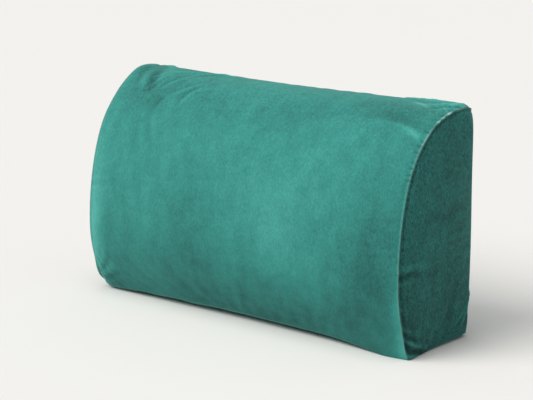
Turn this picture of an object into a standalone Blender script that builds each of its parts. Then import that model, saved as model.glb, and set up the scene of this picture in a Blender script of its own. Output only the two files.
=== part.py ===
"""Lumbar support pillow: a filled bolster of D-shaped section in a sewn velvet cover, on its flat base.

Frame: the origin is on the base plane under the middle of the pillow, +X runs along its length, -Y is the
convex front, +Y is the flat back and +Z is up. All lengths are in metres.
"""
import math

import bmesh
import bpy
from mathutils import Vector
from mathutils.geometry import intersect_point_line

# Driving dimensions of the sewn cover
LENGTH = 0.602              # from one end seam to the other
HEIGHT = 0.339              # at the top back edge
BASE_DEPTH = 0.1445         # the flat base, from the back edge to the lower front seam
BELLY_DEPTH = 0.177         # from the back to the front's deepest point
BELLY_HEIGHT = 0.106        # height of that point
TOE_LEAN = 0.0155           # how far the front leans forward just above its lower seam
TOE_HEIGHT = 0.035          # height over which it does so
SHIN = 0.040                # reach of the curve below the deepest point
BROW = 0.166                # reach of the curve above the deepest point
SHOULDER = 0.1156           # depth at which the front turns level towards the top back edge
SHOULDER_RISE = 0.019       # how far the shoulder's handle stands above the top back edge

# How the filling swells the cover between its seams
FRONT_CROWN = 0.0050
BACK_CROWN = 0.005
END_CROWN = 0.008
DRAWN_IN = 0.002            # how far each end seam pulls in between its corners
CROWN_REACH = 0.180         # distance from an end seam at which the crown is full
EDGE_ROLL = 0.0015          # quick swell beside an end seam
EDGE_ROLL_REACH = 0.022
SEAM_PINCH = 0.0015         # how far the sewn edge stands out of the rounded sides
PINCH_REACH = 0.006
CROWN_ROUNDNESS = 0.7       # power of the crown's sine: lower is a flatter middle with fuller edges
END_ROUNDNESS = 0.55

# The cage: how many faces each side of the section and the length are cut into
SHORT_STEPS = 11            # the base, and the top of the front
LONG_STEPS = 26             # the back, and the lower part of the front
LENGTH_STEPS = 46
LENGTH_GRADING = 0.68       # 0 spaces the steps evenly, and near 1 crowds them at the ends
SIDE_GRADING = 0.45

TANGENT_STEP = 0.01         # share of the front's length over which its direction is read
WELD = 0.00005
FLAT = 0.0002               # what is lower than this lies on the surface
VELVET_COLOUR = (0.035, 0.262, 0.218, 1.0)
VELVET_ROUGHNESS = 0.85

# The long seams wander a little: how far each lifts, and how far the lower front seam stands out.
# Columns: x, top_back, lower_front, lower_back, toe_out
SEAM_LINES = (
    (-0.301, 0.0045, 0.0012, 0.0012, 0.0040),
    (-0.280, 0.0020, 0.0020, 0.0016, 0.0110),
    (-0.150, -0.0010, 0.0045, 0.0030, 0.0090),
    (0.000, -0.0025, 0.0085, 0.0035, 0.0070),
    (0.140, -0.0005, 0.0070, 0.0030, 0.0070),
    (0.255, 0.0015, 0.0012, 0.0016, 0.0100),
    (0.301, 0.0015, 0.0012, 0.0012, 0.0000),
)
END_LIFT = 0.0012           # how far the two end seams of the base lift
LIFT_REACH = 0.032          # how far inside the base a lifted seam still raises it; within that it is flat
FRONT_LIFT_REACH = 0.085    # how far up the front, and up the back, it does so
BACK_LIFT_REACH = 0.112
TOP_LIFT_POWER = 4          # how closely the top edge's wander keeps to the top
TOE_REACH = 0.100           # how far up the front the toe's fullness goes

# The main folds and tucks: a soft trough (depth below 0) or ridge along a straight stretch of the cover.
# It keeps FOLD_TIP of the sine at its ends, so that it fades there without stopping dead.
# Columns: name, start, end, width, depth
FOLD_TIP = 0.12
FOLDS = (
    ("left brow", (-0.300, -0.062, 0.262), (-0.300, 0.020, 0.330), 0.032, -0.0030),
    ("top left dent", (-0.256, -0.030, 0.312), (-0.262, 0.045, 0.336), 0.016, -0.0050),
    ("top left ridge", (-0.232, -0.040, 0.296), (-0.228, 0.060, 0.337), 0.010, 0.0022),
    ("top left crease", (-0.208, -0.052, 0.276), (-0.200, 0.070, 0.337), 0.010, -0.0024),
    ("top left corner pull", (-0.290, 0.030, 0.331), (-0.240, 0.070, 0.337), 0.009, -0.0022),
    ("gather to top right corner", (0.205, 0.048, 0.338), (0.294, 0.080, 0.336), 0.008, -0.0028),
    ("gather ridge to top right corner", (0.215, 0.028, 0.335), (0.294, 0.072, 0.336), 0.008, 0.0024),
    ("lower gather to top right corner", (0.232, 0.010, 0.329), (0.294, 0.062, 0.337), 0.008, -0.0026),
    ("lower right tuck", (0.300, -0.086, 0.040), (0.300, -0.040, 0.022), 0.009, -0.0045),
    ("lower right roll", (0.300, -0.078, 0.026), (0.300, -0.030, 0.013), 0.008, 0.0030),
    ("lower right bottom tuck", (0.300, -0.070, 0.014), (0.300, -0.008, 0.005), 0.008, -0.0040),
    ("right end back roll", (0.300, 0.086, 0.060), (0.300, 0.050, 0.024), 0.009, 0.0028),
    ("right end back tuck", (0.300, 0.088, 0.046), (0.300, 0.068, 0.006), 0.009, -0.0038),
    ("right end crease", (0.300, -0.088, 0.120), (0.300, -0.036, 0.112), 0.011, -0.0018),
    ("lower left tuck", (-0.300, -0.066, 0.030), (-0.262, -0.082, 0.048), 0.010, -0.0030),
    ("lower left pull", (-0.298, -0.062, 0.012), (-0.248, -0.070, 0.022), 0.009, -0.0024),
    ("left end tuck", (-0.300, -0.076, 0.034), (-0.300, -0.030, 0.018), 0.010, -0.0040),
    ("left end back tuck", (-0.300, 0.086, 0.050), (-0.300, 0.060, 0.010), 0.010, -0.0030),
    ("rounded top right corner", (0.300, 0.088, 0.335), (0.292, 0.088, 0.335), 0.012, -0.0030),
    ("rounded lower right corner", (0.300, 0.088, 0.004), (0.300, 0.088, 0.000), 0.010, -0.0030),
    ("rounded top left corner", (-0.300, 0.088, 0.338), (-0.296, 0.088, 0.338), 0.010, -0.0025),
)


def graded(t, amount):
    """Crowds evenly spaced values of 0 to 1 towards both ends."""
    s = 2.0 * t - 1.0
    return 0.5 + 0.5 * ((1.0 - amount) * s + amount * math.sin(math.pi * s / 2.0))


def bezier(points, t):
    """A place on a cubic Bezier curve."""
    a, b, c, d = points
    s = 1.0 - t
    return a * s**3 + b * (3.0 * s * s * t) + c * (3.0 * s * t * t) + d * t**3


def front_curve(steps_per_half=60):
    """The front of the section as a polyline of (depth, height), from the lower seam to the top back edge."""
    belly = Vector((BELLY_DEPTH, BELLY_HEIGHT))
    lower = (
        Vector((BASE_DEPTH, 0.0)),
        Vector((BASE_DEPTH + TOE_LEAN, TOE_HEIGHT)),
        belly - Vector((0.0, SHIN)),
        belly,
    )
    upper = (
        belly,
        belly + Vector((0.0, BROW)),
        Vector((SHOULDER, HEIGHT + SHOULDER_RISE)),
        Vector((0.0, HEIGHT)),
    )
    line = [bezier(lower, i / steps_per_half) for i in range(steps_per_half)]
    line += [bezier(upper, i / steps_per_half) for i in range(steps_per_half + 1)]
    return line


FRONT_LINE = front_curve()
FRONT_SPANS = [(b - a).length for a, b in zip(FRONT_LINE, FRONT_LINE[1:])]
FRONT_LENGTH = sum(FRONT_SPANS)
LONG_SHARE = HEIGHT / (HEIGHT + BASE_DEPTH)     # the part of the front that faces the back on an end panel


def on_front(share):
    """The place at a share of the front's length, counted from its lower seam."""
    left = share * FRONT_LENGTH
    for start, end, span in zip(FRONT_LINE, FRONT_LINE[1:], FRONT_SPANS):
        if left <= span:
            return start.lerp(end, left / span)
        left -= span
    return FRONT_LINE[-1].copy()


def outline(side, t):
    """Depth and height, outward direction and share of its panel for a place on one side of the outline."""
    if side == "base":
        return Vector((BASE_DEPTH * t, 0.0)), Vector((0.0, -1.0)), t
    if side == "back":
        return Vector((0.0, HEIGHT * t)), Vector((-1.0, 0.0)), t
    if side == "long front":
        share = LONG_SHARE * t
    else:
        share = 1.0 - (1.0 - LONG_SHARE) * t
    step = TANGENT_STEP
    tangent = on_front(min(share + step, 1.0)) - on_front(max(share - step, 0.0))
    tangent.normalize()
    return on_front(share), Vector((tangent.y, -tangent.x)), share


def seam_line(x, column):
    """A column of SEAM_LINES at x, eased between its rows."""
    x = max(SEAM_LINES[0][0], min(SEAM_LINES[-1][0], x))
    for low, high in zip(SEAM_LINES, SEAM_LINES[1:]):
        if x <= high[0]:
            t = (x - low[0]) / (high[0] - low[0])
            ease = t * t * (3.0 - 2.0 * t)
            return low[column] + (high[column] - low[column]) * ease
    return SEAM_LINES[-1][column]


def near(distance, reach, power=2):
    """1 at no distance, falling to 0 at the reach: smoothly, or along a plain slope with a power of 1."""
    t = min(distance / reach, 1.0)
    return (1.0 - t) ** power


def on_seam_lines(place, side, x):
    """Moves a place of the outline with the three long seams."""
    top = seam_line(x, 1) * (max(place.y, 0.0) / HEIGHT) ** TOP_LIFT_POWER
    front = seam_line(x, 2)
    back = seam_line(x, 3)
    toe = seam_line(x, 4)
    if side == "base":
        rise = max(
            front * near(BASE_DEPTH - place.x, LIFT_REACH, 1),
            back * near(place.x, LIFT_REACH, 1),
            END_LIFT * near(LENGTH / 2.0 - abs(x), LIFT_REACH, 1),
        )
        out = toe * near(BASE_DEPTH - place.x, LIFT_REACH)
    elif side == "back":
        rise = back * near(place.y, BACK_LIFT_REACH)
        out = 0.0
    else:
        rise = front * near(place.y, FRONT_LIFT_REACH)
        out = toe * near(place.y, TOE_REACH)
    return Vector((place.x + out, place.y + rise + top))


def swell_share(side, share):
    """How much of its panel's crown a place has: none at the sewn edges, all of it midway."""
    return max(math.sin(math.pi * share), 0.0) ** CROWN_ROUNDNESS


def drawn_in(share):
    """How far an end seam is pulled in between its corners."""
    return DRAWN_IN * math.sin(math.pi * share) ** 2


def to_frame(x, depth, height):
    """The sewn outline's deepest point and its back lie equally far from the frame's middle plane."""
    return Vector((x, BELLY_DEPTH / 2.0 - depth, height))


def cover_point(side, t, length_share):
    """A place on the wrapped cover: the front, base or back panel."""
    place, outward, share = outline(side, t)
    x = LENGTH / 2.0 * (2.0 * graded(length_share, LENGTH_GRADING) - 1.0)
    place = on_seam_lines(place, side, x)
    from_seam = LENGTH / 2.0 - abs(x)
    x -= math.copysign(drawn_in(share) * near(from_seam, LIFT_REACH), x)
    crown = {"base": 0.0, "back": BACK_CROWN}.get(side, FRONT_CROWN)
    roll = 0.0 if side == "base" else EDGE_ROLL
    full = 1.0 - near(from_seam, CROWN_REACH)
    quick = 1.0 - near(from_seam, EDGE_ROLL_REACH)
    swell = (crown * full + roll * quick) * swell_share(side, share)
    if side != "base":
        swell += SEAM_PINCH * near(from_seam, PINCH_REACH) * swell_share(side, share)
    place = place + outward * swell
    return to_frame(x, place.x, place.y)


def end_point(sign, across, up):
    """A place on an end panel: its four sides are blended, then the middle is swelled outwards."""
    def edge(side, t):
        return cover_point(side, t, 0.5 + 0.5 * sign)

    base, top = edge("base", across), edge("short front", across)
    back, front = edge("back", up), edge("long front", up)
    corners = (
        edge("base", 0.0) * ((1.0 - across) * (1.0 - up))
        + edge("base", 1.0) * (across * (1.0 - up))
        + edge("back", 1.0) * ((1.0 - across) * up)
        + edge("long front", 1.0) * (across * up)
    )
    blend = base * (1.0 - up) + top * up + back * (1.0 - across) + front * across - corners
    middle = max(16.0 * across * (1.0 - across) * up * (1.0 - up), 0.0)
    blend.x += sign * END_CROWN * middle**END_ROUNDNESS
    return blend


def add_panel(bm, columns, rows, shape):
    """A grid of faces whose corners are moved on to a surface, given by shape(u, v) for u and v of 0 to 1."""
    made = bmesh.ops.create_grid(bm, x_segments=columns, y_segments=rows, size=0.5)
    for vert in made["verts"]:
        vert.co = shape(vert.co.x + 0.5, vert.co.y + 0.5)


def press_folds(bm):
    """Moves the cover in or out along its normals beside each fold."""
    bm.normal_update()
    moves = []
    for vert in bm.verts:
        total = 0.0
        for _, start, end, width, depth in FOLDS:
            start, end = Vector(start), Vector(end)
            share = intersect_point_line(vert.co, start, end)[1]
            share = max(0.0, min(1.0, share))
            nearest = start.lerp(end, share)
            offset = (vert.co - nearest).length / width
            fade = math.sqrt(math.sin(math.pi * (FOLD_TIP + (1.0 - 2.0 * FOLD_TIP) * share)))
            total += depth * fade * math.exp(-offset * offset)
        moves.append(vert.normal * total)
    for vert, move in zip(bm.verts, moves):
        vert.co += move


def rest_on_base(bm):
    """Puts the flat of the base at height 0 and the middle of the outer box over the origin."""
    for vert in bm.verts:
        if vert.co.z < FLAT:
            vert.co.z = 0.0
    middle = Vector((0.0, 0.0, 0.0))
    for axis in (0, 1):
        places = [vert.co[axis] for vert in bm.verts]
        middle[axis] = (min(places) + max(places)) / 2.0
    bmesh.ops.translate(bm, verts=bm.verts, vec=-middle)


def pillow_mesh():
    """The filled cover: the panels around the section and one at each end, welded along their seams."""
    bm = bmesh.new()
    sides = (
        ("base", SHORT_STEPS),
        ("long front", LONG_STEPS),
        ("short front", SHORT_STEPS),
        ("back", LONG_STEPS),
    )
    for side, steps in sides:
        add_panel(
            bm, LENGTH_STEPS, steps,
            lambda u, v, side=side: cover_point(side, graded(v, SIDE_GRADING), u),
        )
    for sign in (-1.0, 1.0):
        add_panel(
            bm, SHORT_STEPS, LONG_STEPS,
            lambda u, v, sign=sign: end_point(sign, graded(u, SIDE_GRADING), graded(v, SIDE_GRADING)),
        )
    bmesh.ops.remove_doubles(bm, verts=bm.verts, dist=WELD)
    bmesh.ops.recalc_face_normals(bm, faces=bm.faces)
    press_folds(bm)
    rest_on_base(bm)
    bmesh.ops.triangulate(bm, faces=bm.faces)
    mesh = bpy.data.meshes.new("lumbar_pillow")
    bm.to_mesh(mesh)
    bm.free()
    return mesh


def velvet():
    material = bpy.data.materials.new("velvet")
    material.use_nodes = True
    shader = material.node_tree.nodes["Principled BSDF"]
    shader.inputs["Base Color"].default_value = VELVET_COLOUR
    shader.inputs["Roughness"].default_value = VELVET_ROUGHNESS
    shader.inputs["Metallic"].default_value = 0.0
    return material


def main():
    for old in list(bpy.data.objects):
        bpy.data.objects.remove(old, do_unlink=True)
    collection = bpy.data.collections.new("lumbar_support_pillow")
    bpy.context.scene.collection.children.link(collection)
    mesh = pillow_mesh()
    mesh.materials.append(velvet())
    mesh.shade_smooth()
    collection.objects.link(bpy.data.objects.new("lumbar_pillow", mesh))


main()
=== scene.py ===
"""A velvet lumbar support pillow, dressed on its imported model. All lengths are in metres."""
import bisect
import math
import random

import bmesh
import bpy
import numpy as np
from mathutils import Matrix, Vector, noise
from mathutils.kdtree import KDTree


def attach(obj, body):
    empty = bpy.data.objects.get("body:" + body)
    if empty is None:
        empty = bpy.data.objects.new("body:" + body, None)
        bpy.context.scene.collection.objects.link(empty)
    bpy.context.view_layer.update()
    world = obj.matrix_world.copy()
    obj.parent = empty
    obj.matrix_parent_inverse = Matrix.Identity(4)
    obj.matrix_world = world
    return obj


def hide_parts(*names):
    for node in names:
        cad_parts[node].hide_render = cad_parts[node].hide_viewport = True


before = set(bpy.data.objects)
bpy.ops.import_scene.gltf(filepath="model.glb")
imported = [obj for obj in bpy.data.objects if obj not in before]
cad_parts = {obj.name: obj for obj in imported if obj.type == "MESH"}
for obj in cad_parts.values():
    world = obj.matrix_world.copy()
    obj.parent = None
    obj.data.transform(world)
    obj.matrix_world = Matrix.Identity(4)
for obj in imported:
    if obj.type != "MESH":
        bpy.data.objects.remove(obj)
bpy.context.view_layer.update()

# The sewn cover, in the sizes of its solid
LENGTH = 0.602              # from one end seam to the other
HEIGHT = 0.339              # at the top back edge
BASE_DEPTH = 0.1445         # the flat base, from the back edge to the lower front seam
BELLY_DEPTH = 0.177         # from the back to the front's deepest point
BELLY_HEIGHT = 0.106
TOE = (0.0155, 0.035)       # handle of the curve that rises from the lower front seam: forward, up
SHIN = 0.040                # handles of the curve below and above the deepest point
BROW = 0.166
SHOULDER = (0.1156, 0.019)  # handle where the front turns level: depth, height over the top back edge
FRONT_CROWN = 0.0050        # how far the middle of each panel swells
BACK_CROWN = 0.0050
END_CROWN = 0.0078
DRAWN_IN = 0.002            # how far each end seam pulls in between its corners
CROWN_REACH = 0.180         # how far from an end seam the swell still grows
EDGE_ROLL = 0.0015          # quick swell beside an end seam
EDGE_ROLL_REACH = 0.022
CROWN_ROUNDNESS = 0.7       # below 1 the swell rises quickly and is flat in the middle
END_ROUNDNESS = 0.95

# How the long seams wander. Columns: x, top_back, lower_front, lower_back, toe_out
SEAM_LINES = (
    (-0.301, 0.0045, 0.0012, 0.0012, 0.0040),
    (-0.280, 0.0020, 0.0020, 0.0016, 0.0110),
    (-0.150, -0.0010, 0.0045, 0.0030, 0.0090),
    (0.000, -0.0025, 0.0085, 0.0035, 0.0070),
    (0.140, -0.0005, 0.0070, 0.0030, 0.0070),
    (0.255, 0.0015, 0.0012, 0.0016, 0.0100),
    (0.301, 0.0015, 0.0012, 0.0012, 0.0000),
)
END_LIFT = 0.0012           # how far the two end seams of the base lift
LIFT_REACH = 0.032          # how far from a seam its lift, or its pull, still shows
FRONT_LIFT_REACH = 0.085
BACK_LIFT_REACH = 0.112
TOE_REACH = 0.100

# Where the filling sits fuller or slacker than the plain form. Columns: name, middle, reach, shift
PUSHES = (
    ("left brow", (-0.300, -0.020, 0.300), 0.045, (0.0, 0.0026, -0.0034)),
    ("top left corner", (-0.300, 0.034, 0.341), 0.026, (-0.0008, 0.0, 0.0036)),
    ("top right corner", (0.300, 0.085, 0.335), 0.080, (0.0024, 0.0010, -0.0006)),
    ("right end's back edge", (0.300, 0.088, 0.150), 0.150, (0.0040, 0.0018, 0.0)),
    ("lower left corner", (-0.300, -0.066, 0.030), 0.020, (-0.0020, -0.0012, 0.0)),
    ("lower right corner", (0.300, -0.056, 0.000), 0.045, (0.0012, -0.0080, -0.0024)),
)
# The corners are soft. Columns: x, y, z, reach, how far they are drawn in
CORNERS = (
    (0.303, 0.090, 0.338, 0.0130, 0.0036),
    (-0.302, 0.089, 0.345, 0.0110, 0.0050),
    (0.301, 0.088, 0.001, 0.0100, 0.0016),
    (-0.301, 0.088, 0.001, 0.0110, 0.0024),
    (0.302, -0.064, 0.001, 0.0080, 0.0020),
    (-0.303, -0.062, 0.001, 0.0120, 0.0050),
)

# The velvet's net of threads for settling, before it is halved once
SHORT_STEPS = 36            # the base, and the top of the front
LONG_STEPS = 80             # the back, and the lower part of the front
LENGTH_STEPS = 82
LENGTH_GRADING = 0.62       # crowds the steps towards the end seams
WELD = 0.00002              # points of two panels nearer than this become one


def graded(t, amount):
    """Crowds evenly spaced values of 0 to 1 towards both ends."""
    s = 2.0 * t - 1.0
    return 0.5 + 0.5 * ((1.0 - amount) * s + amount * math.sin(math.pi * s / 2.0))


def near(distance, reach, power=2):
    """1 at no distance, falling to 0 at the reach."""
    return (1.0 - min(distance / reach, 1.0)) ** power


def bezier(points, t):
    a, b, c, d = points
    s = 1.0 - t
    return a * s**3 + b * (3.0 * s * s * t) + c * (3.0 * s * t * t) + d * t**3


def front_curve(steps=80):
    """The front of the section, as (depth, height), from the lower seam up to the top back edge."""
    toe = Vector((BASE_DEPTH, 0.0))
    belly = Vector((BELLY_DEPTH, BELLY_HEIGHT))
    lower = (toe, toe + Vector(TOE), belly - Vector((0.0, SHIN)), belly)
    shoulder = Vector((SHOULDER[0], HEIGHT + SHOULDER[1]))
    upper = (belly, belly + Vector((0.0, BROW)), shoulder, Vector((0.0, HEIGHT)))
    line = [bezier(lower, i / steps) for i in range(steps)]
    return line + [bezier(upper, i / steps) for i in range(steps + 1)]


FRONT_LINE = front_curve()
FRONT_MARKS = [0.0]
for before, after in zip(FRONT_LINE, FRONT_LINE[1:]):
    FRONT_MARKS.append(FRONT_MARKS[-1] + (after - before).length)
FRONT_LENGTH = FRONT_MARKS[-1]
LONG_SHARE = HEIGHT / (HEIGHT + BASE_DEPTH)


def on_front(share):
    """The place at a share of the front's length, counted from its lower seam."""
    mark = max(0.0, min(1.0, share)) * FRONT_LENGTH
    i = min(max(bisect.bisect_right(FRONT_MARKS, mark), 1), len(FRONT_LINE) - 1)
    span = FRONT_MARKS[i] - FRONT_MARKS[i - 1]
    return FRONT_LINE[i - 1].lerp(FRONT_LINE[i], (mark - FRONT_MARKS[i - 1]) / span)


def out_of_front(share):
    """The direction that faces out of the front there."""
    tangent = (on_front(share + 0.01) - on_front(share - 0.01)).normalized()
    return Vector((tangent.y, -tangent.x))


def outline(side, t):
    """Place, outward direction and share of its panel for a point on one side of the sewn outline."""
    if side == "base":
        return Vector((BASE_DEPTH * t, 0.0)), Vector((0.0, -1.0)), t
    if side == "back":
        return Vector((0.0, HEIGHT * t)), Vector((-1.0, 0.0)), t
    share = LONG_SHARE * t if side == "long front" else 1.0 - (1.0 - LONG_SHARE) * t
    return on_front(share), out_of_front(share), share


def seam_line(x, column):
    """A column of SEAM_LINES at x, eased between its rows."""
    x = max(SEAM_LINES[0][0], min(SEAM_LINES[-1][0], x))
    for low, high in zip(SEAM_LINES, SEAM_LINES[1:]):
        if x <= high[0]:
            t = (x - low[0]) / (high[0] - low[0])
            return low[column] + (high[column] - low[column]) * t * t * (3.0 - 2.0 * t)
    return SEAM_LINES[-1][column]


def cover_point(side, t, length_share):
    """A place on the panels that run the length of the pillow."""
    place, outward, share = outline(side, t)
    x = LENGTH / 2.0 * (2.0 * graded(length_share, LENGTH_GRADING) - 1.0)
    from_seam = LENGTH / 2.0 - abs(x)
    top = seam_line(x, 1) * (max(place.y, 0.0) / HEIGHT) ** 4
    front, back, toe = (seam_line(x, column) for column in (2, 3, 4))
    if side == "base":
        rise = max(
            front * near(BASE_DEPTH - place.x, LIFT_REACH, 1),
            back * near(place.x, LIFT_REACH, 1),
            END_LIFT * near(from_seam, LIFT_REACH, 1),
        )
        out = toe * near(BASE_DEPTH - place.x, LIFT_REACH)
        crown = 0.0
    elif side == "back":
        rise = back * near(place.y, BACK_LIFT_REACH)
        out = 0.0
        crown = BACK_CROWN
    else:
        rise = front * near(place.y, FRONT_LIFT_REACH)
        out = toe * near(place.y, TOE_REACH)
        crown = FRONT_CROWN
    bow = max(math.sin(math.pi * share), 0.0)
    swell = 0.0
    if side != "base":
        full = 1.0 - near(from_seam, CROWN_REACH)
        quick = 1.0 - near(from_seam, EDGE_ROLL_REACH)
        swell = (crown * full + EDGE_ROLL * quick) * bow**CROWN_ROUNDNESS
    place = Vector((place.x + out, place.y + rise + top)) + outward * swell
    x -= math.copysign(DRAWN_IN * bow * bow * near(from_seam, LIFT_REACH), x)
    return Vector((x, BELLY_DEPTH / 2.0 - place.x, place.y))


def end_point(sign, across, up):
    """A place on an end panel: its four sides are blended, then the middle is swelled outwards."""
    def edge(side, t):
        return cover_point(side, t, 0.5 + 0.5 * sign)

    corners = (
        edge("base", 0.0) * ((1.0 - across) * (1.0 - up))
        + edge("base", 1.0) * (across * (1.0 - up))
        + edge("back", 1.0) * ((1.0 - across) * up)
        + edge("long front", 1.0) * (across * up)
    )
    blend = edge("base", across) * (1.0 - up) + edge("short front", across) * up
    blend += edge("back", up) * (1.0 - across) + edge("long front", up) * across - corners
    middle = max(4.0 * across * (1.0 - across) * 4.0 * up * (1.0 - up), 0.0)
    blend.x += sign * END_CROWN * middle**END_ROUNDNESS
    return blend


def pushed(place):
    """How far the filling and the corners move a place of the plain form."""
    total = Vector((0.0, 0.0, 0.0))
    for _, middle, reach, shift in PUSHES:
        away = (place - Vector(middle)).length / reach
        total += Vector(shift) * math.exp(-away * away)
    for x, y, z, reach, depth in CORNERS:
        away = (place - Vector((x, y, z))).length / reach
        upwards = math.copysign(1.0, HEIGHT / 2.0 - z)
        inwards = Vector((-math.copysign(1.0, x), -math.copysign(1.0, y), upwards))
        total += inwards * (depth * math.exp(-away * away) / math.sqrt(3.0))
    return total


PANELS = ("base", "back", "front", "right end", "left end")
ENDS = ("left end", "right end")
# Where each panel lies on the map of the flat cloth, so that no two panels share a stretch of it
CLOTH_PLACES = {
    "base": (0.0, -0.4),
    "back": (0.0, 0.8),
    "front": (0.0, 0.0),
    "right end": (1.0, 0.0),
    "left end": (-1.0, 0.0),
}


def add_panel(bm, columns, rows, shape, lay, panel):
    """A grid of velvet: shape(u, v) is a point's place, and lay(u, v) its place on the flat cloth."""
    cloth = bm.loops.layers.uv["cloth"]
    which = bm.faces.layers.int["panel"]
    shift = CLOTH_PLACES[panel]
    laid = {}
    made = bmesh.ops.create_grid(bm, x_segments=columns, y_segments=rows, size=0.5)
    for vert in made["verts"]:
        u, v = vert.co.x + 0.5, vert.co.y + 0.5
        flat = lay(u, v)
        laid[vert] = (flat[0] + shift[0], flat[1] + shift[1])
        vert.co = shape(u, v)
    for face in {face for vert in made["verts"] for face in vert.link_faces}:
        face[which] = PANELS.index(panel)
        face.smooth = True
        for loop in face.loops:
            loop[cloth].uv = laid[loop.vert]


def cover_mesh():
    """The sewn cover as one closed net: four stretches round the section and a panel at each end."""
    bm = bmesh.new()
    bm.loops.layers.uv.new("cloth")
    panels = bm.faces.layers.int.new("panel")
    crease = bm.edges.layers.float.new("crease_edge")

    def flat_x(u):
        return (graded(u, LENGTH_GRADING) - 0.5) * LENGTH

    def lay_lower(u, v):
        return flat_x(u), LONG_SHARE * v * FRONT_LENGTH

    def lay_upper(u, v):
        return flat_x(u), (1.0 - (1.0 - LONG_SHARE) * v) * FRONT_LENGTH

    stretches = (
        ("base", SHORT_STEPS, "base", lambda u, v: (flat_x(u), v * BASE_DEPTH)),
        ("long front", LONG_STEPS, "front", lay_lower),
        ("short front", SHORT_STEPS, "front", lay_upper),
        ("back", LONG_STEPS, "back", lambda u, v: (flat_x(u), v * HEIGHT)),
    )
    for side, steps, panel, lay in stretches:
        add_panel(bm, LENGTH_STEPS, steps, lambda u, v, side=side: cover_point(side, v, u), lay, panel)
    for sign, panel in ((-1.0, "left end"), (1.0, "right end")):
        def shape(u, v, sign=sign):
            return end_point(sign, u, v)

        add_panel(bm, SHORT_STEPS, LONG_STEPS, shape, lambda u, v: shape(u, v).yz, panel)
    bmesh.ops.remove_doubles(bm, verts=bm.verts, dist=WELD)
    bmesh.ops.recalc_face_normals(bm, faces=bm.faces)
    for vert in bm.verts:
        if vert.co.z > FLAT:
            vert.co += pushed(vert.co)
    for edge in bm.edges:
        one, other = edge.link_faces
        if one[panels] != other[panels]:
            edge[crease] = SEAM_CREASE
            edge.seam = True
    mesh = bpy.data.meshes.new("velvet_cover")
    bm.to_mesh(mesh)
    bm.free()
    return mesh


# How the cover is let settle: the filling pushes, and the stitched seams are shorter than the panels
SEAM_CREASE = 0.85
SETTLE_FRAMES = 22
PRESSURE = 3.0
SEAM_SHORTENING = 0.034
SEAM_GRIP = 0.0085          # how far from a seam its stitches still draw the cloth in
MIDDLE_SLACK = 0.002        # how much too long the cloth is along the middle of the pillow
END_SLACK = 0.011           # and beside its ends
END_SLACK_REACH = 0.075
SLACK_PATCHES = 9.0         # how many patches of looser and tighter cloth lie along a metre
SLACK_PLACE = Vector((7.31, 3.17, 5.03))  # where in Blender's noise the patches are taken from
FILLING_HOLD = 0.25         # how firmly the filling keeps the cover in shape, from 0 to 1
MOST_MOVED = 0.006
SPREAD_ROUNDS = 70          # how widely a movement is averaged to tell the shape's own from a wrinkle's
BULK_KEPT = 0.15            # how much of the shape's own movement stays
FLAT = 0.0002               # what is lower than this lies on the surface


def coordinates(mesh):
    flat = np.empty(len(mesh.vertices) * 3)
    mesh.vertices.foreach_get("co", flat)
    return flat.reshape(-1, 3)


def distances(places, chosen):
    """How far each place is from the nearest of the chosen ones."""
    tree = KDTree(len(chosen))
    for i in chosen:
        tree.insert(places[i], i)
    tree.balance()
    return np.array([tree.find(place)[2] for place in places])


def patches(places, per_metre):
    """A smooth uneven value between about -0.7 and 0.7 for each place."""
    return np.array([noise.noise(Vector(place) * per_metre + SLACK_PLACE) for place in places])


def averaged(mesh, values, rounds):
    """Spreads each vertex's value over its neighbours again and again."""
    ends = np.empty(len(mesh.edges) * 2, dtype=np.int32)
    mesh.edges.foreach_get("vertices", ends)
    one, other = ends.reshape(-1, 2).T
    count = len(mesh.vertices)
    shares = np.bincount(one, minlength=count) + np.bincount(other, minlength=count) + 1.0
    for _ in range(rounds):
        columns = []
        for column in values.T:
            total = np.bincount(one, column[other], count) + np.bincount(other, column[one], count)
            columns.append((total + column) / shares)
        values = np.stack(columns, axis=1)
    return values


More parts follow.
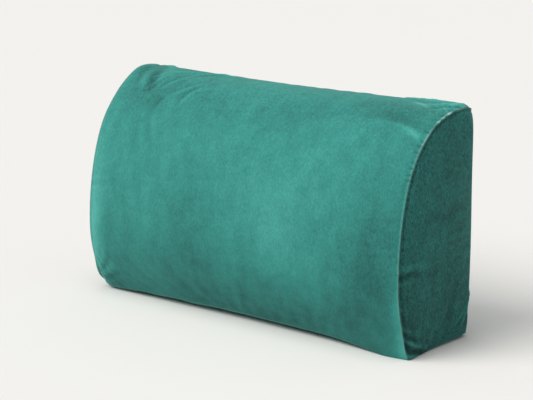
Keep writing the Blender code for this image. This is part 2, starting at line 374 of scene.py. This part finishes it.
def settle(cover):
    """Blender's cloth pulls the seams short and lets the panels swell and crease between them."""
    scene = bpy.context.scene
    mesh = cover.data
    before = coordinates(mesh)
    on_seam = sorted({i for edge in mesh.edges if edge.use_seam for i in edge.vertices})
    from_seam = distances(before, on_seam)
    from_end = LENGTH / 2.0 - np.minimum(np.abs(before[:, 0]), LENGTH / 2.0)
    slack = MIDDLE_SLACK + (END_SLACK - MIDDLE_SLACK) * np.exp(-((from_end / END_SLACK_REACH) ** 2))
    slack *= 1.0 + patches(before, SLACK_PATCHES)
    shortening = SEAM_SHORTENING * np.exp(-((from_seam / SEAM_GRIP) ** 2)) - slack
    least, most = shortening.min(), shortening.max()
    stitches = cover.vertex_groups.new(name="stitches")
    filling = cover.vertex_groups.new(name="filling")
    for i, value in enumerate(shortening):
        stitches.add([i], (value - least) / (most - least), "REPLACE")
        filling.add([i], 1.0 if before[i][2] < FLAT else FILLING_HOLD, "REPLACE")
    cloth = cover.modifiers.new("settle", "CLOTH")
    settings = cloth.settings
    settings.quality = 5
    settings.mass = 0.3
    settings.air_damping = 3.0
    settings.tension_stiffness = 18.0
    settings.compression_stiffness = 14.0
    settings.shear_stiffness = 6.0
    settings.bending_stiffness = 0.4
    settings.use_pressure = True
    settings.uniform_pressure_force = PRESSURE
    settings.vertex_group_mass = "filling"
    settings.pin_stiffness = 1.0
    settings.vertex_group_shrink = "stitches"
    settings.shrink_min = least
    settings.shrink_max = most
    settings.effector_weights.gravity = 0.0
    cloth.collision_settings.use_collision = False
    for frame_number in range(1, SETTLE_FRAMES + 1):
        scene.frame_set(frame_number)
    graph = bpy.context.evaluated_depsgraph_get()
    after = coordinates(cover.evaluated_get(graph).data)
    move = after - before
    length = np.linalg.norm(move, axis=1)
    move *= np.minimum(1.0, MOST_MOVED / np.maximum(length, 1e-9))[:, None]
    move -= averaged(mesh, move, SPREAD_ROUNDS) * (1.0 - BULK_KEPT)
    cover.modifiers.remove(cloth)
    cover.vertex_groups.clear()
    mesh.vertices.foreach_set("co", (before + move).ravel())
    mesh.update()
    scene.frame_set(1)


def halve(cover):
    """Splits every face of the net in four, on a smooth surface that keeps the seams crisp."""
    finer = cover.modifiers.new("finer", "SUBSURF")
    finer.levels = finer.render_levels = 1
    finer.uv_smooth = "NONE"
    graph = bpy.context.evaluated_depsgraph_get()
    mesh = bpy.data.meshes.new_from_object(cover.evaluated_get(graph), depsgraph=graph)
    cover.modifiers.remove(finer)
    cover.data = mesh


def laid_panels(mesh):
    """For each panel, the cover's points on it and their places on the flat cloth."""
    corners = np.empty(len(mesh.loops), dtype=np.int32)
    mesh.loops.foreach_get("vertex_index", corners)
    laid = np.empty(len(mesh.loops) * 2, dtype=np.float32)
    mesh.uv_layers["cloth"].data.foreach_get("uv", laid)
    laid = laid.reshape(-1, 2).astype(float)
    which = np.empty(len(mesh.polygons), dtype=np.int32)
    mesh.attributes["panel"].data.foreach_get("value", which)
    sizes = np.empty(len(mesh.polygons), dtype=np.int32)
    mesh.polygons.foreach_get("loop_total", sizes)
    of_corner = np.repeat(which, sizes)
    panels = {}
    for i, name in enumerate(PANELS):
        chosen = np.flatnonzero(of_corner == i)
        points, first = np.unique(corners[chosen], return_index=True)
        panels[name] = (points, laid[chosen[first]] - np.array(CLOTH_PLACES[name]))
    return panels


# Creases and rolls, listed one by one. The front's flat places are (x, length up from the lower seam), the
# back's are (x, height), and an end's are (y, z) in the frame. A depth below 0 is a trough. A rooted crease
# is deepest at its first point, on a seam, and the others fade towards both ends.
# Columns: panel, path, width, depth, rooted
CREASES = (
    # Drag lines at the top left
    ("front", ((-0.254, 0.396), (-0.248, 0.378), (-0.232, 0.350)), 0.0080, -0.0024, False),
    ("front", ((-0.268, 0.392), (-0.262, 0.372), (-0.252, 0.350)), 0.0080, 0.0012, False),
    ("front", ((-0.236, 0.348), (-0.231, 0.366), (-0.222, 0.388)), 0.0042, 0.0017, False),
    ("front", ((-0.206, 0.352), (-0.198, 0.368), (-0.184, 0.388)), 0.0038, 0.0015, False),
    ("front", ((-0.214, 0.346), (-0.208, 0.366), (-0.196, 0.392)), 0.0050, -0.0009, False),
    ("front", ((-0.172, 0.342), (-0.160, 0.356), (-0.143, 0.372)), 0.0036, 0.0013, False),
    ("front", ((-0.152, 0.322), (-0.146, 0.342), (-0.136, 0.360)), 0.0036, 0.0011, False),
    ("front", ((-0.160, 0.326), (-0.154, 0.346), (-0.143, 0.366)), 0.0048, -0.0006, False),
    ("front", ((-0.195, 0.330), (-0.203, 0.300), (-0.186, 0.262)), 0.0060, -0.0005, False),
    ("front", ((-0.184, 0.332), (-0.190, 0.300), (-0.174, 0.264)), 0.0050, 0.0005, False),
    ("front", ((-0.236, 0.388), (-0.224, 0.402), (-0.196, 0.420)), 0.0050, 0.0016, False),
    ("front", ((-0.182, 0.404), (-0.160, 0.426), (-0.118, 0.428)), 0.0052, 0.0015, False),
    ("front", ((-0.176, 0.396), (-0.150, 0.418), (-0.110, 0.420)), 0.0046, -0.0008, False),
    ("front", ((-0.300, 0.440), (-0.272, 0.420), (-0.240, 0.398)), 0.0070, -0.0021, True),
    ("front", ((-0.280, 0.453), (-0.262, 0.436), (-0.250, 0.418)), 0.0050, 0.0018, False),
    # Gathers that run to the top right corner
    ("front", ((0.300, 0.446), (0.270, 0.428), (0.214, 0.410)), 0.0050, -0.0037, True),
    ("front", ((0.301, 0.434), (0.276, 0.418), (0.232, 0.398)), 0.0042, 0.0034, True),
    ("front", ((0.301, 0.424), (0.282, 0.405), (0.252, 0.386)), 0.0045, -0.0034, True),
    ("front", ((0.301, 0.412), (0.284, 0.398), (0.262, 0.390)), 0.0035, 0.0024, True),
    ("front", ((0.292, 0.453), (0.250, 0.438), (0.200, 0.434)), 0.0050, 0.0027, False),
    ("front", ((0.190, 0.440), (0.232, 0.446), (0.280, 0.450)), 0.0045, -0.0020, False),
    # The cheek beside the right seam, full below and drawn back above
    ("front", ((0.190, 0.358), (0.245, 0.356), (0.296, 0.344)), 0.0090, -0.0007, False),
    ("front", ((0.240, 0.344), (0.268, 0.338), (0.296, 0.324)), 0.0046, 0.0012, False),
    # Faint creases by the left rim, and the gathered lower left corner
    ("front", ((-0.300, 0.180), (-0.262, 0.184), (-0.214, 0.208)), 0.0050, -0.0008, True),
    ("front", ((-0.300, 0.192), (-0.270, 0.198), (-0.240, 0.210)), 0.0045, -0.0006, True),
    ("front", ((-0.300, 0.024), (-0.276, 0.046), (-0.254, 0.080)), 0.0060, -0.0024, True),
    ("front", ((-0.300, 0.012), (-0.268, 0.026), (-0.232, 0.046)), 0.0055, -0.0020, True),
    ("front", ((-0.300, 0.036), (-0.284, 0.060), (-0.272, 0.096)), 0.0050, -0.0014, True),
    # The right end's tucks at its lower front corner
    ("right end", ((-0.080, 0.043), (-0.048, 0.029), (-0.034, 0.018)), 0.0036, -0.0040, True),
    ("right end", ((-0.074, 0.034), (-0.046, 0.021), (-0.020, 0.010)), 0.0042, 0.0014, False),
    ("right end", ((-0.071, 0.028), (-0.046, 0.014), (-0.008, 0.003)), 0.0044, -0.0052, True),
    ("right end", ((-0.068, 0.010), (-0.052, 0.006), (-0.036, 0.004)), 0.0038, 0.0024, False),
    ("right end", ((-0.086, 0.066), (-0.060, 0.052), (-0.030, 0.046)), 0.0060, -0.0012, True),
    # Its folds at the lower back corner, and the soft crease across its front
    ("right end", ((0.089, 0.070), (0.076, 0.048), (0.052, 0.030)), 0.0028, 0.0016, False),
    ("right end", ((0.088, 0.058), (0.084, 0.040), (0.075, 0.020), (0.073, 0.006)), 0.0040, -0.0030, True),
    ("right end", ((0.080, 0.046), (0.072, 0.034), (0.064, 0.024)), 0.0026, 0.0012, False),
    ("right end", ((-0.088, 0.122), (-0.062, 0.126), (-0.030, 0.116)), 0.0048, -0.0018, True),
    ("right end", ((-0.084, 0.132), (-0.058, 0.136), (-0.020, 0.128)), 0.0060, 0.0008, False),
    ("right end", ((0.088, 0.150), (0.060, 0.140), (0.030, 0.142)), 0.0070, -0.0008, True),
    ("right end", ((-0.020, 0.200), (0.010, 0.192), (0.050, 0.204)), 0.0080, -0.0006, False),
    ("right end", ((0.020, 0.030), (0.034, 0.060), (0.040, 0.090)), 0.0080, -0.0007, False),
    # The left end is much the same
    ("left end", ((-0.080, 0.036), (-0.050, 0.026), (-0.024, 0.016)), 0.0052, -0.0036, True),
    ("left end", ((-0.074, 0.024), (-0.050, 0.015), (-0.030, 0.008)), 0.0048, -0.0028, True),
    ("left end", ((0.088, 0.062), (0.076, 0.034), (0.066, 0.008)), 0.0052, -0.0028, True),
    ("left end", ((-0.086, 0.140), (-0.058, 0.146), (-0.022, 0.134)), 0.0060, -0.0012, True),
    # The back's lower corners
    ("back", ((-0.300, 0.030), (-0.270, 0.044), (-0.230, 0.050)), 0.0070, -0.0016, True),
    ("back", ((0.300, 0.026), (0.276, 0.044), (0.250, 0.070)), 0.0065, -0.0016, True),
    ("back", ((0.300, 0.318), (0.276, 0.300), (0.240, 0.292)), 0.0065, -0.0014, True),
    ("back", ((-0.300, 0.316), (-0.268, 0.304), (-0.236, 0.280)), 0.0070, -0.0014, True),
)
CREASE_TIP = 0.10           # share of a fading crease's sine that is kept at its ends
LIP = 0.30                  # how high the cloth rises beside a trough, as a share of its depth
LIP_AT = 1.9                # where, in widths of the trough
LIP_WIDTH = 0.8

# Where the stitches gather the cloth beside an end seam, between two shares of the front's length.
# Columns: end, panel, low, high, spacing, length, depth
PUCKERS = (
    ("right end", "front", 0.585, 0.765, 0.0076, 0.0130, -0.0024),
    ("right end", "front", 0.200, 0.575, 0.0110, 0.0085, -0.0006),
    ("right end", "front", 0.775, 0.920, 0.0085, 0.0100, -0.0012),
    ("right end", "right end", 0.500, 0.940, 0.0095, 0.0085, -0.0006),
    ("right end", "right end", 0.060, 0.480, 0.0120, 0.0090, -0.0005),
    ("left end", "front", 0.100, 0.950, 0.0095, 0.0095, -0.0004),
    ("left end", "left end", 0.100, 0.950, 0.0100, 0.0090, -0.0007),
)
PUCKER_WIDTH = 0.0014
PUCKER_LEAN = 0.0010        # how far the far end of one may lie up or down
PUCKER_SEED = 11
# The least and the most that chance makes of each
LENGTH_CHANCE = (0.65, 1.2)
WIDTH_CHANCE = (0.8, 1.3)
DEPTH_CHANCE = (0.3, 1.2)
SPACING_CHANCE = (0.7, 1.35)

# The seams: crisp and a little raised between the front and the ends, rounded elsewhere
RIDGE = 0.0011
RIDGE_WIDTH = 0.0017
GROOVE = 0.0012             # on the end's side of it
GROOVE_AT = 0.0038
GROOVE_WIDTH = 0.0026
ROUNDING = 0.0011           # how far the other seams are drawn in
ROUNDING_REACH = 0.0070
SEAM_HOLD = 0.0022          # how near a seam the stitches keep folds out of it
STITCH_HOLD = 0.0010        # the same for puckers
RIDGE_FADE = 0.0120         # how near a corner the raised seams fade out


def flowing(path, steps=6):
    """A smooth line through the points of a path."""
    points = [Vector(point) for point in path]
    points = [points[0] * 2.0 - points[1]] + points + [points[-1] * 2.0 - points[-2]]
    line = []
    for a, b, c, d in zip(points, points[1:], points[2:], points[3:]):
        for i in range(steps):
            t = i / steps
            line.append(0.5 * (2.0 * b + (c - a) * t + (2.0 * a - 5.0 * b + 4.0 * c - d) * t**2
                               + (3.0 * b - a - 3.0 * c + d) * t**3))
    return line + [points[-2]]


def beside(flat, line):
    """How far each place is from a line on the flat cloth, and how far along the line, from 0 to 1."""
    best = np.full(len(flat), np.inf)
    share = np.zeros(len(flat))
    spans = [(b - a).length for a, b in zip(line, line[1:])]
    done = 0.0
    for start, end, span in zip(line, line[1:], spans):
        step = np.array(end - start)
        away = flat - np.array(start)
        along = np.clip(away @ step / span**2, 0.0, 1.0)
        distance = np.linalg.norm(away - along[:, None] * step, axis=1)
        closer = distance < best
        best[closer] = distance[closer]
        share[closer] = (done + along[closer] * span) / sum(spans)
        done += span
    return best, share


def crease(flat, line, width, depth, rooted):
    """How far a crease moves each place of its panel, out of the cover."""
    distance, share = beside(flat, line)
    r = distance / width
    profile = np.exp(-(r**2)) - LIP * np.exp(-(((r - LIP_AT) / LIP_WIDTH) ** 2))
    if rooted:
        fade = 1.0 - share
    else:
        fade = np.sqrt(np.sin(np.pi * (CREASE_TIP + (1.0 - 2.0 * CREASE_TIP) * share)))
    return depth * fade * profile


def on_a_row(mark):
    """The nearest row of the net, as a length up the front."""
    turn = LONG_SHARE * FRONT_LENGTH
    if mark < turn:
        row = turn / (2 * LONG_STEPS)
        return round(mark / row) * row
    row = (FRONT_LENGTH - turn) / (2 * SHORT_STEPS)
    return turn + round((mark - turn) / row) * row


def pucker_lines():
    """The short puckers beside the end seams, at uneven distances."""
    dice = random.Random(PUCKER_SEED)
    for end, panel, low, high, spacing, length, depth in PUCKERS:
        sign = 1.0 if end == "right end" else -1.0
        mark = low * FRONT_LENGTH
        while mark < high * FRONT_LENGTH:
            share = mark / FRONT_LENGTH
            reach = length * dice.uniform(*LENGTH_CHANCE)
            lean = PUCKER_LEAN * dice.uniform(-1.0, 1.0)
            if panel == "front":
                start = Vector((sign * LENGTH / 2.0, on_a_row(mark)))
                end_of_line = start + Vector((-sign * reach, lean))
            else:
                seam = on_front(share)
                outward = out_of_front(share)
                start = Vector((BELLY_DEPTH / 2.0 - seam.x, seam.y))
                end_of_line = start + Vector((outward.x, -outward.y)) * reach + Vector((0.0, lean))
            width = PUCKER_WIDTH * dice.uniform(*WIDTH_CHANCE)
            yield panel, [start, end_of_line], width, depth * dice.uniform(*DEPTH_CHANCE)
            mark += spacing * dice.uniform(*SPACING_CHANCE)


def work_cover(cover):
    """Rounds the long seams, raises the end seams and lays the creases and puckers."""
    mesh = cover.data
    places = coordinates(mesh)
    panels = laid_panels(mesh)
    on = {name: np.isin(np.arange(len(places)), points) for name, (points, _) in panels.items()}
    on_end = on["left end"] | on["right end"]
    many = sum(on[name].astype(int) for name in PANELS) > 1
    crisp = np.flatnonzero(on["front"] & on_end)
    rounded = np.flatnonzero(many & ~(on["front"] & on_end))
    from_crisp = distances(places, crisp)
    from_rounded = distances(places, rounded)
    from_seam = np.minimum(from_crisp, from_rounded)
    folds = np.zeros(len(places))
    for panel, path, width, depth, rooted in CREASES:
        points, flat = panels[panel]
        folds[points] += crease(flat, flowing(path), width, depth, rooted)
    puckers = np.zeros(len(places))
    for panel, line, width, depth in pucker_lines():
        points, flat = panels[panel]
        puckers[points] += crease(flat, line, width, depth, True)
    move = folds * (1.0 - np.exp(-((from_seam / SEAM_HOLD) ** 2)))
    move += puckers * (1.0 - np.exp(-((from_seam / STITCH_HOLD) ** 2)))
    at_corner = np.exp(-((from_rounded / RIDGE_FADE) ** 2))
    move += RIDGE * (1.0 - at_corner) * np.exp(-((from_crisp / RIDGE_WIDTH) ** 2))
    move -= ROUNDING * (1.0 - np.minimum(from_rounded / ROUNDING_REACH, 1.0)) ** 2
    move -= np.where(on_end, GROOVE * np.exp(-(((from_crisp - GROOVE_AT) / GROOVE_WIDTH) ** 2)), 0.0)
    normals = np.empty(len(places) * 3, dtype=np.float32)
    mesh.vertex_normals.foreach_get("vector", normals)
    places += normals.reshape(-1, 3) * move[:, None]
    places[:, 2] = np.maximum(places[:, 2], 0.0)
    mesh.vertices.foreach_set("co", places.ravel())
    mesh.update()
    # Paints light, shade and highlights into the velvet's colour, and keeps its roughness
    paint_shading_and_roughness(mesh, panels, from_crisp, folds + puckers)


# Painted light and shade on the panels, for how the lamps fall on the pile and how it lies: lighter above 0,
# darker below.
# Columns: panel, middle, reach along and up, turn, amount. A turn is in degrees
PAINTED_LIGHT_AND_SHADE = (
    ("front", (0.262, 0.165), (0.050, 0.090), 0.0, -0.26),
    ("front", (0.240, 0.372), (0.085, 0.026), -6.0, -0.18),
    ("front", (0.278, 0.336), (0.018, 0.008), -20.0, 0.16),
    ("front", (-0.020, 0.335), (0.220, 0.035), 0.0, -0.08),
    ("front", (0.070, 0.190), (0.060, 0.080), 20.0, 0.18),
    ("front", (-0.085, 0.115), (0.050, 0.060), 0.0, -0.12),
    ("front", (-0.285, 0.170), (0.020, 0.090), 0.0, 0.26),
    ("front", (-0.292, 0.085), (0.014, 0.070), 0.0, 0.34),
    ("front", (-0.262, 0.012), (0.030, 0.020), 0.0, -0.20),
    ("front", (-0.278, 0.395), (0.020, 0.040), 20.0, -0.24),
    ("front", (-0.235, 0.330), (0.050, 0.050), 20.0, -0.12),
    ("front", (0.040, 0.000), (0.330, 0.090), -4.0, -0.33),
    ("front", (0.235, 0.080), (0.050, 0.070), 0.0, -0.14),
    ("front", (0.296, 0.050), (0.007, 0.080), 0.0, 0.30),
    ("front", (0.288, 0.010), (0.014, 0.022), 0.0, 0.22),
    ("front", (0.290, 0.448), (0.030, 0.010), 0.0, -0.35),
    ("right end", (0.000, 0.060), (0.140, 0.075), 0.0, -0.08),
    ("right end", (-0.075, 0.020), (0.030, 0.050), 0.0, -0.10),
    ("right end", (0.086, 0.120), (0.006, 0.150), 0.0, 0.16),
    ("left end", (0.000, 0.060), (0.140, 0.075), 0.0, -0.08),
)
# How rough the pile looks: the front's values go from its lower seam up. Columns: length up, roughness
FRONT_ROUGH = ((0.0, 0.55), (0.06, 0.60), (0.15, 1.0), (0.30, 1.0), (0.36, 1.5), (0.46, 1.5))
END_ROUGH = 1.7
END_PAINTED_SHADE = -0.30             # painted shade on the ends, which face away from the broad lamp and whose pile lies the other way
END_SEAM_PAINTED_SHADE = 0.16         # and beside their seams with the front, painted shade makes them darker still
END_SEAM_REACH = 0.0040
FOLD_PAINTED_SHADING = 0.24             # painted light on a roll and painted shade in a trough, as a change of lightness
FULL_FOLD = 0.0020          # a crease this deep gets the whole painted light or shade
SEAM_PAINTED_HIGHLIGHT = 0.12            # painted highlight along the crests of the end seams
SEAM_HIGHLIGHT_WIDTH = 0.0018
# Painted highlights where the front's pile catches the light most. Columns: middle, reach along and up,
# turn, amount
PAINTED_GLINTS = (
    ((0.301, 0.366), (0.0020, 0.0040), 0.0, 0.60),
    ((0.301, 0.377), (0.0020, 0.0030), 0.0, 0.75),
    ((0.301, 0.391), (0.0020, 0.0055), 0.0, 0.85),
    ((0.301, 0.330), (0.0018, 0.0160), 0.0, 0.25),
    ((0.301, 0.418), (0.0016, 0.0100), 0.0, 0.25),
    ((0.241, 0.406), (0.0170, 0.0036), -24.0, 0.26),
    ((0.276, 0.419), (0.0170, 0.0014), 20.0, 0.22),
    ((0.287, 0.398), (0.0160, 0.0013), -24.0, 0.16),
)


def patch(flat, middle, reach, turn):
    """1 in the middle of a soft oval patch of the flat cloth, falling to 0 around it."""
    cos, sin = math.cos(math.radians(turn)), math.sin(math.radians(turn))
    away = (flat - np.array(middle)) @ np.array(((cos, -sin), (sin, cos))) / np.array(reach)
    return np.exp(-(away**2).sum(axis=1))


def paint_shading_and_roughness(mesh, panels, from_crisp, folds):
    """Keeps for the velvet its painted light and shade, how rough it looks and its painted highlights."""
    painted_shading = np.zeros(len(mesh.vertices))
    # Painted shade over the ends, darker still beside their seams with the front
    for end in ENDS:
        points = panels[end][0]
        painted_shading[points] = END_PAINTED_SHADE - END_SEAM_PAINTED_SHADE * np.exp(-((from_crisp[points] / END_SEAM_REACH) ** 2))
    # Painted light and shade in soft patches
    for panel, middle, reach, turn, amount in PAINTED_LIGHT_AND_SHADE:
        points, flat = panels[panel]
        painted_shading[points] += amount * patch(flat, middle, reach, turn)
    # Painted light on rolls and painted shade in troughs and puckers
    painted_shading += FOLD_PAINTED_SHADING * np.clip(folds / FULL_FOLD, -1.0, 1.0)
    # Painted highlights along the end seams' crests and at the glints
    painted_highlight = SEAM_PAINTED_HIGHLIGHT * np.exp(-((from_crisp / SEAM_HIGHLIGHT_WIDTH) ** 2))
    points, flat = panels["front"]
    for middle, reach, turn, amount in PAINTED_GLINTS:
        painted_highlight[points] += amount * patch(flat, middle, reach, turn)
    rough = np.ones(len(mesh.vertices))
    rough[points] = np.interp(flat[:, 1], *zip(*FRONT_ROUGH))
    for end in ENDS:
        rough[panels[end][0]] = END_ROUGH
    for name, values in (("painted_shading", painted_shading), ("rough", rough), ("painted_highlight", painted_highlight)):
        attribute = mesh.attributes.new(name, "FLOAT", "POINT")
        attribute.data.foreach_set("value", values.astype(np.float32))


# Colours of the velvet, from darkest to lightest: painted light and shade and a random mottling move its
# colour along them
DARKEST_VELVET = (0.011, 0.060, 0.057, 1.0)
BODY = (0.034, 0.232, 0.202, 1.0)
LIGHTEST_VELVET = (0.085, 0.400, 0.350, 1.0)
# The colour of the painted highlights, mixed in along the end seams' crests and at the glints
PAINTED_HIGHLIGHT_COLOUR = (0.450, 0.820, 0.740, 1.0)
# Uneven lightness of the pile. Columns: scale along and up in each metre, turn, detail, amount, fine
MOTTLE = (
    ((9.0, 7.0), 0.0, 2.0, 0.18, False),
    ((52.0, 24.0), 12.0, 3.0, 0.22, False),
    ((34.0, 70.0), -35.0, 3.0, 0.14, False),
    ((230.0, 130.0), 10.0, 3.0, 0.22, True),
    ((560.0, 260.0), 12.0, 2.0, 0.38, True),
)
PILE_SCALE = 1500.0         # tufts of pile in each metre
PILE_DEPTH = 0.00035


def velvet_material():
    """Short pile in emerald green, brushed unevenly, with painted light, shade and highlights in its colour.
    """
    material = bpy.data.materials.new("emerald velvet")
    material.use_nodes = True
    nodes, links = material.node_tree.nodes, material.node_tree.links
    shader = nodes["Principled BSDF"]
    shader.inputs["Roughness"].default_value = 0.85
    shader.inputs["Specular IOR Level"].default_value = 0.15
    shader.inputs["Sheen Weight"].default_value = 0.45
    shader.inputs["Sheen Roughness"].default_value = 0.35
    shader.inputs["Sheen Tint"].default_value = (0.45, 1.0, 0.88, 1.0)
    cloth = nodes.new("ShaderNodeUVMap")
    cloth.uv_map = "cloth"

    def uneven(scale, turn, detail):
        laid = nodes.new("ShaderNodeMapping")
        laid.inputs["Rotation"].default_value = (0.0, 0.0, math.radians(turn))
        laid.inputs["Scale"].default_value = (scale[0], scale[1], 1.0)
        links.new(cloth.outputs["UV"], laid.inputs["Vector"])
        texture = nodes.new("ShaderNodeTexNoise")
        texture.noise_dimensions = "2D"
        texture.inputs["Scale"].default_value = 1.0
        texture.inputs["Detail"].default_value = detail
        links.new(laid.outputs["Vector"], texture.inputs["Vector"])
        return texture.outputs["Fac"]

    def attribute(name):
        node = nodes.new("ShaderNodeAttribute")
        node.attribute_name = name
        return node.outputs["Fac"]

    def reckon(operation, *values):
        node = nodes.new("ShaderNodeMath")
        node.operation = operation
        for socket, value in zip(node.inputs, values):
            if isinstance(value, float):
                socket.default_value = value
            else:
                links.new(value, socket)
        return node.outputs[0]

    # The painted light and shade set the lightness, and the mottling adds random unevenness to it
    lightness = reckon("ADD", attribute("painted_shading"), 0.5)
    rough = attribute("rough")
    for scale, turn, detail, amount, fine in MOTTLE:
        change = reckon("MULTIPLY_ADD", uneven(scale, turn, detail), amount, -0.5 * amount)
        lightness = reckon("MULTIPLY_ADD", change, rough if fine else 1.0, lightness)
    ramp = nodes.new("ShaderNodeValToRGB")
    ramp.color_ramp.elements[0].color = DARKEST_VELVET
    ramp.color_ramp.elements[1].color = LIGHTEST_VELVET
    ramp.color_ramp.elements.new(0.5).color = BODY
    links.new(lightness, ramp.inputs["Fac"])
    # The painted highlights are mixed into the colour
    painted_highlight = nodes.new("ShaderNodeMix")
    painted_highlight.data_type = "RGBA"
    painted_highlight.inputs["B"].default_value = PAINTED_HIGHLIGHT_COLOUR
    links.new(ramp.outputs["Color"], painted_highlight.inputs["A"])
    links.new(attribute("painted_highlight"), painted_highlight.inputs["Factor"])
    links.new(painted_highlight.outputs["Result"], shader.inputs["Base Color"])
    bump = nodes.new("ShaderNodeBump")
    bump.inputs["Strength"].default_value = 0.5
    bump.inputs["Distance"].default_value = PILE_DEPTH
    links.new(uneven((PILE_SCALE, PILE_SCALE), 0.0, 2.0), bump.inputs["Height"])
    links.new(bump.outputs["Normal"], shader.inputs["Normal"])
    return material


# The camera stands where the photograph was taken from
CAMERA_AZIMUTH = 39.82
CAMERA_ELEVATION = 12.95
CAMERA_AIM = Vector((-0.0466, 0.0462, 0.1599))
CAMERA_DISTANCE = 2.730
SENSOR = 36.0               # width of the camera's sensor in millimetres
FOCAL_PIXELS = 1763.0       # focal length in pixels of the 533 pixel wide picture
PICTURE_WIDTH = 533.0


def towards(azimuth, elevation):
    """The direction at an azimuth, counted from -Y towards +X, and an elevation, both in degrees."""
    turn, rise = math.radians(azimuth), math.radians(elevation)
    return Vector((math.sin(turn) * math.cos(rise), -math.cos(turn) * math.cos(rise), math.sin(rise)))


def add_camera():
    back = towards(CAMERA_AZIMUTH, CAMERA_ELEVATION)
    data = bpy.data.cameras.new("camera")
    data.sensor_width = SENSOR
    data.lens = FOCAL_PIXELS / PICTURE_WIDTH * SENSOR
    camera = bpy.data.objects.new("camera", data)
    camera.location = CAMERA_AIM + back * CAMERA_DISTANCE
    camera.rotation_euler = back.to_track_quat("Z", "Y").to_euler()
    bpy.context.scene.collection.objects.link(camera)
    bpy.context.scene.camera = camera


# Studio light: a broad lamp to the front left, another overhead, and a dim room.
# Columns: name, azimuth, elevation, strength, how wide it looks from the pillow, in degrees
LAMPS = (
    ("broad lamp", -28.0, 46.0, 2.3, 40.0),
    ("overhead lamp", 0.0, 80.0, 1.0, 40.0),
)
LAMP_COLOUR = (1.0, 0.99, 0.97)
ROOM_COLOUR = (0.96, 0.98, 1.0, 1.0)
ROOM_LIGHT = 0.38
FLOOR_COLOUR = (0.76, 0.745, 0.725, 1.0)
FLOOR_REACH = 6.0


def add_light():
    scene = bpy.context.scene
    scene.view_settings.view_transform = "Standard"
    world = bpy.data.worlds.new("studio")
    world.use_nodes = True
    background = world.node_tree.nodes["Background"]
    background.inputs["Color"].default_value = ROOM_COLOUR
    background.inputs["Strength"].default_value = ROOM_LIGHT
    scene.world = world
    for name, azimuth, elevation, strength, breadth in LAMPS:
        data = bpy.data.lights.new(name, "SUN")
        data.energy = strength
        data.angle = math.radians(breadth)
        data.color = LAMP_COLOUR
        lamp = bpy.data.objects.new(name, data)
        lamp.rotation_euler = towards(azimuth, elevation).to_track_quat("Z", "Y").to_euler()
        scene.collection.objects.link(lamp)


def add_floor():
    bm = bmesh.new()
    bmesh.ops.create_grid(bm, x_segments=1, y_segments=1, size=FLOOR_REACH)
    mesh = bpy.data.meshes.new("floor")
    bm.to_mesh(mesh)
    bm.free()
    floor = bpy.data.objects.new("floor", mesh)
    bpy.context.scene.collection.objects.link(floor)
    material = bpy.data.materials.new("pale floor")
    material.use_nodes = True
    shader = material.node_tree.nodes["Principled BSDF"]
    shader.inputs["Base Color"].default_value = FLOOR_COLOUR
    shader.inputs["Roughness"].default_value = 0.9
    mesh.materials.append(material)


def dress():
    add_camera()
    add_light()
    add_floor()
    cover = bpy.data.objects.new("velvet_cover", cover_mesh())
    bpy.context.scene.collection.objects.link(cover)
    settle(cover)
    halve(cover)
    work_cover(cover)
    cover.data.materials.append(velvet_material())
    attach(cover, "root")
    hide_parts("lumbar_pillow")


dress()
